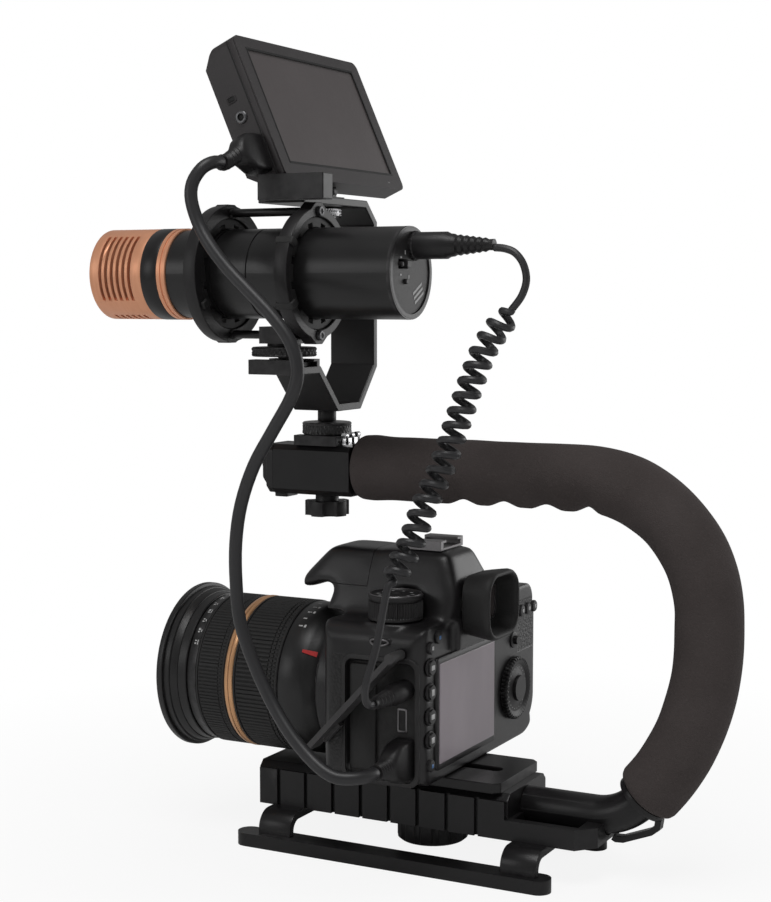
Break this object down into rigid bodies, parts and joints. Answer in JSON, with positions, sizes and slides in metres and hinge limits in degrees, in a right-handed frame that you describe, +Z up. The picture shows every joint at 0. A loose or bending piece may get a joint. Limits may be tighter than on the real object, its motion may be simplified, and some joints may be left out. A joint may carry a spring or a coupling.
{
  "type": "cinema camera rig",
  "caption": "Hand-held camera rig: C-shaped foam grip on a ribbed base, reflex camera with wide lens, shock-mounted microphone and tilting monitor on a bent bracket, joined by two cords",
  "frame": {"origin": "on the surface the rig stands on, under the middle of its outline without the cords", "axes": "+Z up, -Y the way the lens and microphone point, +X to the operator's left"},
  "size_m": [0.182, 0.3096, 0.3936],
  "materials": {
    "black_anodised": "satin black anodised with a fine grain",
    "black_plastic": "matte moulded",
    "grey_black_bezel": "fine matte",
    "leatherette": "pebbled soft-touch",
    "ring_rubber": "ribbed, matte",
    "foam": "closed-cell foam, dry and matte",
    "cord_rubber": "smooth satin",
    "bright_steel": "bright, finely scratched",
    "screw_steel": "blackened and worn bright at the slot",
    "copper": "brushed copper-coloured anodising",
    "lens_black": "fine crackle black",
    "glass": "coated, clear",
    "screen": "dark glossy panel",
    "display": "grey-mauve glossy panel",
    "sensor": "coated filter over silicon"
  },
  "bodies": {
    "rig": {"base_body": "black_anodised", "foot_bars": "black_anodised", "foot_straps": "black_anodised", "base_screws": "screw_steel", "camera_plate": "black_anodised", "handle_tube": "black_anodised", "foam_grip": "foam", "strap_loop": "black_anodised", "head_block": "black_anodised", "head_cap": "black_plastic", "head_shoe": "black_anodised", "shoe_spring": "bright_steel", "bracket": "black_anodised", "bracket_foot": "black_anodised", "shock_rings": "black_plastic", "shock_rods": "black_anodised", "shock_pads": "ring_rubber", "shock_foot": "black_plastic", "mic_body": "black_anodised", "mic_grille": "copper", "mic_rear_cap": "black_anodised", "camera_body": "leatherette", "prism_cover": "black_plastic", "hot_shoe": "bright_steel", "eyecup": "ring_rubber", "lcd_window": "display", "hand_grip": "leatherette", "image_sensor": "sensor", "lens_barrel": "lens_black", "front_rim": "lens_black", "lens_glass": "glass", "monitor_hinge": "black_plastic", "hdmi_cable": "cord_rubber", "hdmi_plug_camera": "cord_rubber", "curly_coil": "cord_rubber", "audio_lead": "cord_rubber", "audio_plugs": "cord_rubber"},
    "head_knob": {"head_knob": "black_plastic"},
    "camera_knob": {"camera_knob": "black_plastic", "camera_screw": "screw_steel"},
    "bracket_wheel": {"bracket_wheel": "black_anodised"},
    "mic_wheel": {"mic_wheel": "black_plastic"},
    "monitor_wheel": {"monitor_wheel": "bright_steel"},
    "monitor": {"monitor_case": "grey_black_bezel", "monitor_screen": "screen", "hdmi_plug_monitor": "cord_rubber"},
    "mode_dial": {"mode_dial": "black_plastic"},
    "main_dial": {"main_dial": "black_plastic"},
    "shutter_button": {"shutter_button": "black_plastic"},
    "rear_dial": {"rear_dial": "black_plastic"},
    "set_button": {"set_button": "black_plastic"},
    "menu_button_1": {"menu_button_1": "black_plastic"},
    "menu_button_2": {"menu_button_2": "black_plastic"},
    "menu_button_3": {"menu_button_3": "black_plastic"},
    "menu_button_4": {"menu_button_4": "black_plastic"},
    "popup_flash": {"popup_flash": "black_plastic"},
    "port_flap": {"port_flap": "ring_rubber"},
    "mic_switch": {"mic_switch": "black_plastic"},
    "zoom_ring": {"zoom_ring": "ring_rubber"},
    "focus_ring": {"focus_ring": "ring_rubber"}
  },
  "joints": [
    {"name": "head_knob_turn", "type": "hinge", "parent": "rig", "child": "head_knob", "pos_m": [0.00625, -0.05775, 0.166], "axis": [0, 0, 1], "continuous": true},
    {"name": "camera_knob_turn", "type": "hinge", "parent": "rig", "child": "camera_knob", "pos_m": [0.00625, 0.00125, 0.011], "axis": [0, 0, 1], "continuous": true},
    {"name": "bracket_wheel_turn", "type": "hinge", "parent": "rig", "child": "bracket_wheel", "pos_m": [0.00625, -0.05775, 0.205], "axis": [0, 0, 1], "continuous": true},
    {"name": "mic_wheel_turn", "type": "hinge", "parent": "rig", "child": "mic_wheel", "pos_m": [0.04725, -0.05775, 0.2436], "axis": [0, 0, 1], "continuous": true},
    {"name": "monitor_wheel_turn", "type": "hinge", "parent": "rig", "child": "monitor_wheel", "pos_m": [0.00025, -0.06225, 0.3107], "axis": [0, 0, 1], "continuous": true},
    {"name": "monitor_tilt", "type": "hinge", "parent": "rig", "child": "monitor", "pos_m": [0.00025, -0.06225, 0.3215], "axis": [1, 0, 0], "range_deg": [-38, 30], "deforming": ["hdmi_cable"]},
    {"name": "mode_dial_turn", "type": "hinge", "parent": "rig", "child": "mode_dial", "pos_m": [0.04025, -0.00175, 0.125], "axis": [0, 0, 1], "continuous": true},
    {"name": "main_dial_turn", "type": "hinge", "parent": "rig", "child": "main_dial", "pos_m": [-0.06075, -0.03575, 0.1182], "axis": [1, 0, 0], "continuous": true},
    {"name": "shutter_press", "type": "slide", "parent": "rig", "child": "shutter_button", "axis": [0, 0, -1], "range_m": [0, 0.0012], "stiffness_N_per_m": 600, "springref_m": -0.001},
    {"name": "rear_dial_turn", "type": "hinge", "parent": "rig", "child": "rear_dial", "pos_m": [-0.04775, 0.02125, 0.0709], "axis": [0, 1, 0], "continuous": true},
    {"name": "set_press", "type": "slide", "parent": "rig", "child": "set_button", "axis": [0, -1, 0], "range_m": [0, 0.001], "stiffness_N_per_m": 600, "springref_m": -0.001},
    {"name": "menu_press_1", "type": "slide", "parent": "rig", "child": "menu_button_1", "axis": [0, -1, 0], "range_m": [0, 0.001], "stiffness_N_per_m": 500, "springref_m": -0.001},
    {"name": "menu_press_2", "type": "slide", "parent": "rig", "child": "menu_button_2", "axis": [0, -1, 0], "range_m": [0, 0.001], "stiffness_N_per_m": 500, "springref_m": -0.001},
    {"name": "menu_press_3", "type": "slide", "parent": "rig", "child": "menu_button_3", "axis": [0, -1, 0], "range_m": [0, 0.001], "stiffness_N_per_m": 500, "springref_m": -0.001},
    {"name": "menu_press_4", "type": "slide", "parent": "rig", "child": "menu_button_4", "axis": [0, -1, 0], "range_m": [0, 0.001], "stiffness_N_per_m": 500, "springref_m": -0.001},
    {"name": "flash_lift", "type": "hinge", "parent": "rig", "child": "popup_flash", "pos_m": [0.00625, -0.02375, 0.1485], "axis": [-1, 0, 0], "range_deg": [0, 30]},
    {"name": "flap_swing", "type": "hinge", "parent": "rig", "child": "port_flap", "pos_m": [0.06225, 0.00925, 0.1059], "axis": [1, 0, 0], "range_deg": [-45, 18]},
    {"name": "mic_switch_slide", "type": "slide", "parent": "rig", "child": "mic_switch", "axis": [1, 0, 0], "range_m": [0, 0.004]},
    {"name": "zoom_turn", "type": "hinge", "parent": "rig", "child": "zoom_ring", "pos_m": [0.00625, -0.07575, 0.079], "axis": [0, 1, 0], "range_deg": [-35, 35]},
    {"name": "focus_turn", "type": "hinge", "parent": "rig", "child": "focus_ring", "pos_m": [0.00625, -0.10575, 0.079], "axis": [0, 1, 0], "range_deg": [-60, 60]}
  ]
}
